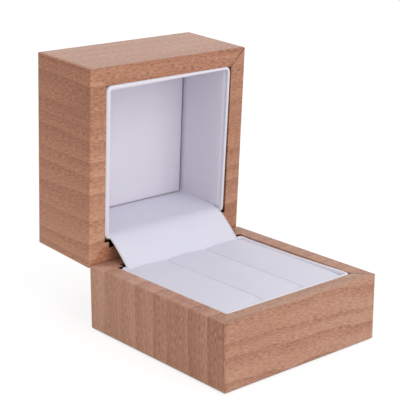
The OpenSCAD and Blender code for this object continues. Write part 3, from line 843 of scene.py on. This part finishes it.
def back_panel(white):
    """The lid's back panel: card padded with a thin foam and wrapped, so its edges are round and its
    face swells a little. It fits closely between the linings, and its foot stands on the flap."""
    (_, _, low_z), (_, _, high_z) = BACK_PAD
    # Radius of the edges, rise of the face, corner radius, and play to the linings
    edge, swell, corner, slack = 0.6, 0.35, 0.7, 0.1
    # How far the face's rim is sunk, half the ridge in its middle, and its smallest corner and inset
    sunk, ridge, least_corner, least_inset, turn_steps = 0.1, 0.2, 0.05, 0.05, 7
    inner = LID_LINING[HIGH][X] - settings("ring_box_lining").lid_strip / MM - slack
    x0, x1 = -inner, inner
    y0, y1 = LID_LINING[LOW][Y] + (LID_LINING[HIGH][X] - inner), REAR - PANEL_FOOT
    half = (y1 - y0) / 2 - ridge
    # Insets and heights over the back face, from the card side over the round edge to the middle
    profile = [(least_inset, 0.0)]
    for i in range(turn_steps + 1):
        a = math.pi / 2 * i / turn_steps
        profile.append((edge * (1 - math.cos(a)), high_z - low_z - edge * (1 - math.sin(a))))
    for share in (0.03, 0.06, 0.12, 0.2, 0.3, 0.45, 0.62, 0.8, 0.94, 1):
        profile.append((mix(edge, half, share), high_z - low_z))
    points = []
    for inset, height in profile:
        rise = max(0, swell * (1 - (1 - inset / half) ** 2) - sunk)
        radius = max(least_corner, corner - inset)
        for x, y, _, _ in round_walk(
            x0 + inset, y0 + inset, x1 - inset, y1 - inset, radius
        ):
            points.append((x, y, high_z - height - rise))
    faces = ring_faces(len(profile), len(points) // len(profile), joined=False)
    piece = new_piece(
        "lid_back_panel", opened(points), faces, white, "lid"
    )
    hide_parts("lid_back_pad")
    return piece


# Left and right edge of each pad at its back, as the photograph shows them
PAD_EDGES = {"left": (-29.0, -10.3), "middle": (-10.27, 9.35), "right": (9.38, 28.95)}
# Shares of an end's radius at which its sections stand, closer together towards the tip
END_SHARES = (0, 0.05, 0.14, 0.28, 0.46, 0.7, 1)


def ring_pad(side, white):
    """One ring pad: a foam roll in leatherette, gently arched from side to side. It falls softly to its
    front end and meets its neighbours closely, and rings stand in the slots between the pads."""
    look = settings("ring_box_pads")
    low, high = node_box(f"ring_pad_{side}")
    left, right = PAD_EDGES[side]
    middle, half = (left + right) / 2, (right - left) / 2
    arch, shoulder, draw = look.arch / MM, look.shoulder / MM, look.draw / MM
    front, rear = look.front / MM, look.rear / MM
    # Fall to the front, radius of the front end, how much each end narrows, and how far the foam stands
    # over the CAD pad's top
    fall, end_r, narrow, plump = 0.6, 1.6, 0.12, 0.65
    give, give_size, seed = 0.06, 11, 21
    sections, back, turn, wall = 34, 32, 7, 6
    length_y = high[Y] - low[Y]
    stations = [end_r * share for share in END_SHARES]
    stations += [mix(end_r, length_y - rear, i / sections) for i in range(1, sections)]
    stations += [length_y - rear * share for share in reversed(END_SHARES)]
    points = []
    for d in stations:
        near, far = min(1, d / end_r), min(1, (length_y - d) / rear)
        front_end = 1 - math.sqrt(1 - (1 - near) ** 2)
        rear_end = 1 - math.sqrt(1 - (1 - far) ** 2)
        wide = half - narrow * (front_end + rear_end)
        drop = fall * max(0, 1 - d / front) ** 2 + end_r * front_end + rear * rear_end
        crest = high[Z] + plump - drop
        side_z = crest - arch - shoulder
        section = []
        for i in range(wall):
            t = i / wall
            section.append((wide - draw * math.sin(math.pi * t), mix(low[Z], side_z, t)))
        for i in range(turn):
            a = math.pi / 2 * i / turn
            section.append(
                (wide - shoulder * (1 - math.cos(a)), side_z + shoulder * math.sin(a))
            )
        for i in range(back + 1):
            share = 1 - 2 * i / back
            section.append(((wide - shoulder) * share, crest - arch * share**2))
        section += [(-x, z) for x, z in reversed(section[: wall + turn])]
        for x, z in section:
            place = (middle + x, low[Y] + d, z)
            # Only the back gives, and the sides keep the slot's width
            softness = smoothstep(z, side_z, crest) * near
            swell = give * softness * soft_noise(place, give_size, seed)
            points.append((place[X], place[Y], z + swell))
    faces = ring_faces(len(stations), len(points) // len(stations), joined=False)
    piece = new_piece(
        f"ring_pad_{side}_cover", points, faces, white, "base"
    )
    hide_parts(f"ring_pad_{side}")
    return piece


# The flap's upper face in side view: first [depth in the lid, height over the lid's lowest side], then
# [distance before the rear face, height over the base's rim]
FLAP_IN_LID = [
    (27.3, 10.6),
    (26.4, 11.5),
    (22, 11.9),
    (17, 12),
    (12, 11.95),
    (8.4, 11.85),
    (5.5, 11.75),
]
FLAP_OUTSIDE = [
    (-2.4, 10.2),
    (-0.8, 10.1),
    (0.5, 9.7),
    (1.4, 9.15),
    (2.2, 8.5),
    (3.4, 7.55),
    (4.8, 6.4),
    (6.7, 4.72),
    (8.7, 2.85),
    (10.6, 1.0),
    (11.5, 0.05),
    (12.2, -0.7),
    (12.6, -1.6),
    (12.72, -3.2),
    (12.72, -9.0),
]
# The stop of FLAP_OUTSIDE where the flap meets the base's rim
FLAP_FOOT = -5
# Its left and right edge inside the lid and outside it
FLAP_WIDE = (-28.95, 28.95)
FLAP_NARROW = (-28.1, 27.35)


def softened(run, reach):
    """The same curve with its bends drawn out over about `reach` stops to either side. Its ends
    stay."""
    run = np.asarray(run, float)
    pull = 0.25
    for _ in range(reach):
        run[1:-1] += pull * (run[:-2] - 2 * run[1:-1] + run[2:])
    return run


def hinge_flap(white):
    """The flap: one sheet of leatherette from the back panel's foot, over the hinge, down behind the
    pads. Its bend at the lid's mouth is drawn out in the middle and tighter at the edges, and it folds
    forward when the lid shuts."""
    look = settings("ring_box_lining")
    step, reach, across = 0.7, 22, 48
    # Depths in the lid between which the flap widens, and the share of its width where its edges begin
    widens_from, widens_to, edge_from = 1.5, 6.5, 0.55
    ripple_h, ripple_size, seed = 0.12, 16, 5
    # Where the flap begins to follow the lid, before the rear face and under the base's rim
    in_lid = opened([(0, REAR - h, LID_RIM + d) for d, h in FLAP_IN_LID])[:, 1:]
    outside = [(REAR - back, RIM + up) for back, up in FLAP_OUTSIDE]
    edge_run = smooth_run(np.vstack([in_lid, outside]), step)
    middle_run = edge_run.copy()
    bend = int(np.argmin(np.hypot(*(edge_run - outside[FLAP_FOOT]).T)))
    middle_run[: bend + 1] = softened(edge_run[: bend + 1], reach)
    thick = look.flap_t / MM
    points = []
    for i in range(len(edge_run)):
        shut = turned([(0, *edge_run[i])], OPEN)[0]
        inside = smoothstep(shut[Z] - LID_RIM, widens_from, widens_to)
        left = mix(FLAP_NARROW[LOW], FLAP_WIDE[LOW], inside)
        right = mix(FLAP_NARROW[HIGH], FLAP_WIDE[HIGH], inside)
        ahead = edge_run[min(i + 1, len(edge_run) - 1)] - edge_run[max(i - 1, 0)]
        under = thick * np.array([-ahead[1], ahead[0]]) / np.linalg.norm(ahead)
        upper = []
        for j in range(across + 1):
            x, out = mix(left, right, j / across), abs(2 * j / across - 1)
            run = mix(middle_run[i], edge_run[i], smoothstep(out, edge_from, 1))
            ripple = ripple_h * soft_noise((x, *run), ripple_size, seed)
            upper.append((x, *(run - ripple * under * inside)))
        points += upper
        points += [(x, y + under[0], z + under[1]) for x, y, z in reversed(upper)]
    faces = ring_faces(len(edge_run), 2 * (across + 1), joined=False)
    piece = new_piece("hinge_flap_sheet", points, faces, white)
    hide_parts("hinge_flap")
    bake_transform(piece)
    return piece


def hinge_spring(steel):
    """The spring: one wire, wound round the pin between the knuckles, with a leg on each leaf. It winds
    up along its length as the lid shuts."""
    look = settings("ring_box_hinge")
    wire, coil, pitch = look.wire / MM / 2, look.coil / MM, look.pitch / MM
    quarters, per_quarter, sides = 47, 5, 10
    # Depth of the leaves' webs in the rails, and how far each leg's stops are from the pin
    web_depth, play = 0.5, 0.05
    base_reach, lid_reach = (5.5, 4.2, 3), (4, 5.2, 6.5)
    # A way that the wire never runs, to set its sections by
    askew = (1, 0.02, 0.01)
    coil_l = pitch * quarters / 4
    leg_up = wire + play
    web_top = RIM - web_depth + leg_up
    path = [(-coil_l / 2, PIVOT[Y] - reach, web_top) for reach in base_reach]
    for i in range(quarters * per_quarter + 1):
        q = i / per_quarter
        a = math.radians(90 - 90 * q)
        path.append(
            (
                pitch * q / 4 - coil_l / 2,
                PIVOT[Y] + coil * math.cos(a),
                PIVOT[Z] + coil * math.sin(a),
            )
        )
    lid_web = LID_RIM + web_depth - leg_up
    leg = [(coil_l / 2, PIVOT[Y] - reach, lid_web) for reach in lid_reach]
    path = np.vstack([path, opened(leg)])
    ahead = np.gradient(path, axis=0)
    ahead /= np.linalg.norm(ahead, axis=1)[:, None]
    out = np.cross(ahead, askew)
    out /= np.linalg.norm(out, axis=1)[:, None]
    side = np.cross(ahead, out)
    points = []
    for p, u, v in zip(path, out, side):
        for k in range(sides):
            a = 2 * math.pi * k / sides
            points.append(p + wire * (math.cos(a) * u + math.sin(a) * v))
    faces = ring_faces(len(path), sides, joined=False)
    piece = new_piece("hinge_spring_wire", points, faces, steel)
    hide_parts("hinge_spring")
    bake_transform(piece)
    return piece


def towards(azimuth, elevation):
    """Unit vector from the box towards what stands at these degrees round it and over the floor."""
    a, e = math.radians(azimuth), math.radians(elevation)
    return Vector((math.sin(a) * math.cos(e), -math.cos(a) * math.cos(e), math.sin(e)))


class RINGBOX_OT_stage(bpy.types.Operator):
    """Adds the pale floor, the soft light and the photograph's camera"""

    bl_idname = "ringbox.stage"
    bl_label = "Stage"

    def execute(self, context):
        look = settings("ring_box_stage")
        scene = context.scene
        scene.view_settings.view_transform = "Standard"
        self.camera(scene)
        self.world(scene, look)
        self.floor(scene, look)
        self.lamp(scene, look)
        return {"FINISHED"}

    @staticmethod
    def camera(scene):
        """The photograph's camera: it stands off the left front and looks a little down."""
        data = bpy.data.cameras.new("photo_camera")
        data.sensor_width = SENSOR
        data.lens = FOCAL_PX * SENSOR / IMAGE_H
        data.clip_start, data.clip_end = 0.01, 20
        back = towards(CAMERA_AZIMUTH, CAMERA_ELEVATION)
        camera = bpy.data.objects.new("photo_camera", data)
        camera.location = Vector(CAMERA_EYE) * MM
        camera.rotation_mode = "QUATERNION"
        camera.rotation_quaternion = (-back).to_track_quat("-Z", "Y")
        scene.collection.objects.link(camera)
        scene.camera = camera

    @staticmethod
    def seen_directly(tree):
        """1 for rays of the camera and of reflections in gloss and glass, 0 for light on surfaces."""
        path = add(tree, "LightPath").outputs
        seen = path["Is Camera Ray"]
        for ray in ("Is Glossy Ray", "Is Transmission Ray"):
            seen = add(tree, "Math", [seen, path[ray]], operation="MAXIMUM")
        return seen

    def world(self, scene, look):
        """An even white room, which is seen as white whatever its light."""
        world = bpy.data.worlds.new("white_room")
        world.use_nodes = True
        tree = world.node_tree
        tree.nodes.clear()
        lit, seen = (
            add(tree, "Background", {"Color": (1, 1, 1, 1), "Strength": strength})
            for strength in (look.sky, 1)
        )
        both = add(tree, "MixShader", [self.seen_directly(tree), lit, seen])
        add(tree, "OutputWorld", [both])
        scene.world = world

    def floor(self, scene, look):
        """White paper, seen as white with a faint shadow under the box."""
        size, shadow, glow = 3.0, 0.3, 0.8
        mesh = bpy.data.meshes.new("floor")
        corners = [(-size, -size, 0), (size, -size, 0), (size, size, 0), (-size, size, 0)]
        mesh.from_pydata(corners, [], [(0, 1, 2, 3)])
        floor = bpy.data.objects.new("floor", mesh)
        scene.collection.objects.link(floor)
        material, tree = new_material("white_paper")
        paper, shaded = (
            add(tree, "BsdfDiffuse", {"Color": (*tint, 1)}) for tint in (look.floor, (shadow,) * 3)
        )
        bright = add(tree, "Emission", {"Strength": glow})
        seen = add(tree, "AddShader", [shaded, bright])
        both = add(tree, "MixShader", [self.seen_directly(tree), paper, seen])
        add(tree, "OutputMaterial", [both])
        mesh.materials.append(material)

    @staticmethod
    def lamp(scene, look):
        """One large soft lamp at the front right, so that the front faces are the brightest."""
        metres_off, metres_wide, azimuth, elevation = 0.9, 0.7, 6, 33
        data = bpy.data.lights.new("soft_box", "AREA")
        data.shape, data.size, data.energy = "SQUARE", metres_wide, look.key
        lamp = bpy.data.objects.new("soft_box", data)
        back = towards(azimuth, elevation)
        lamp.location = back * metres_off
        lamp.rotation_mode = "QUATERNION"
        lamp.rotation_quaternion = (-back).to_track_quat("-Z", "Y")
        scene.collection.objects.link(lamp)


class RINGBOX_OT_boards(bpy.types.Operator):
    """Finishes the beech boards of the base and the lid"""

    bl_idname = "ringbox.boards"
    bl_label = "Beech boards"

    def execute(self, context):
        for node, board in BOARDS.items():
            finish_nodes(beech(node, board), node)
        return {"FINISHED"}


class RINGBOX_OT_cores(bpy.types.Operator):
    """Finishes the card and foam inside the linings"""

    bl_idname = "ringbox.cores"
    bl_label = "Card and foam"

    def execute(self, context):
        look = settings("ring_box_lining")
        # Real card fibres are near 0.05 mm, and are drawn coarser so that a cut edge shows them
        # Its dark brown is painted shade, for the gap where the card shows
        card = matt("card_painted_shade", look.card, cell=0.5, depth=0.04, streak=(1, 1, 2))
        foam = matt("cut_foam", look.foam, cell=0.6, depth=0.15)
        finish_nodes(card, "base_collar", "lid_collar", "pad_board", "lid_back_board")
        finish_nodes(foam, "insert_block")
        return {"FINISHED"}


class RINGBOX_OT_linings(bpy.types.Operator):
    """Builds the linings of the base and the lid, and the lid's back panel"""

    bl_idname = "ringbox.linings"
    bl_label = "Linings"

    def execute(self, context):
        for build in (base_lining, lid_lining, back_panel):
            build(leatherette(build.__name__))
        return {"FINISHED"}


class RINGBOX_OT_pads(bpy.types.Operator):
    """Builds the three soft ring pads"""

    bl_idname = "ringbox.pads"
    bl_label = "Ring pads"

    def execute(self, context):
        white = leatherette("pads", cool=True)
        for side in PAD_EDGES:
            ring_pad(side, white)
        return {"FINISHED"}


class RINGBOX_OT_flap(bpy.types.Operator):
    """Builds the flap that covers the hinge"""

    bl_idname = "ringbox.flap"
    bl_label = "Hinge flap"

    def execute(self, context):
        hinge_flap(leatherette("flap", cool=True))
        return {"FINISHED"}


class RINGBOX_OT_hinge(bpy.types.Operator):
    """Builds the hinge spring and finishes the leaves, pin and screws"""

    bl_idname = "ringbox.hinge"
    bl_label = "Hinge metal"

    def execute(self, context):
        look = settings("ring_box_hinge")
        black = metal("black_steel", look.black, roughness=0.42, specks=1.2)
        steel = metal("plain_steel", look.steel, roughness=0.3, specks=2.5)
        finish_nodes(black, "hinge_base_leaf", "hinge_lid_leaf")
        finish_nodes(steel, "hinge_pin", "hinge_base_screws", "hinge_lid_screws")
        hinge_spring(steel)
        return {"FINISHED"}


OPERATORS = (
    RINGBOX_OT_stage,
    RINGBOX_OT_boards,
    RINGBOX_OT_cores,
    RINGBOX_OT_linings,
    RINGBOX_OT_pads,
    RINGBOX_OT_flap,
    RINGBOX_OT_hinge,
)


class RINGBOX_PT_panel(bpy.types.Panel):
    """Lists the box's pieces and their settings"""

    bl_idname = "RINGBOX_PT_panel"
    bl_label = "Ring display box"
    bl_space_type = "VIEW_3D"
    bl_region_type = "UI"
    bl_category = "Ring box"

    def draw(self, context):
        layout = self.layout
        for operator in OPERATORS:
            layout.operator(operator.bl_idname)
        for group in SETTINGS:
            look = settings(group)
            column = layout.column(heading=type(look).__doc__)
            for name in look.bl_rna.properties.keys():
                if name not in ("rna_type", "name"):
                    column.prop(look, name)


def register():
    for group, kind in SETTINGS.items():
        bpy.utils.register_class(kind)
        setattr(bpy.types.Scene, group, PointerProperty(type=kind))
    for kind in (*OPERATORS, RINGBOX_PT_panel):
        bpy.utils.register_class(kind)


def unregister():
    for kind in (RINGBOX_PT_panel, *reversed(OPERATORS)):
        bpy.utils.unregister_class(kind)
    for group, kind in SETTINGS.items():
        delattr(bpy.types.Scene, group)
        bpy.utils.unregister_class(kind)


def main():
    register()
    for operator in OPERATORS:
        family, name = operator.bl_idname.split(".")
        if getattr(getattr(bpy.ops, family), name)() != {"FINISHED"}:
            raise RuntimeError(f"{operator.bl_label} didn't finish")


if __name__ == "__main__":
    main()
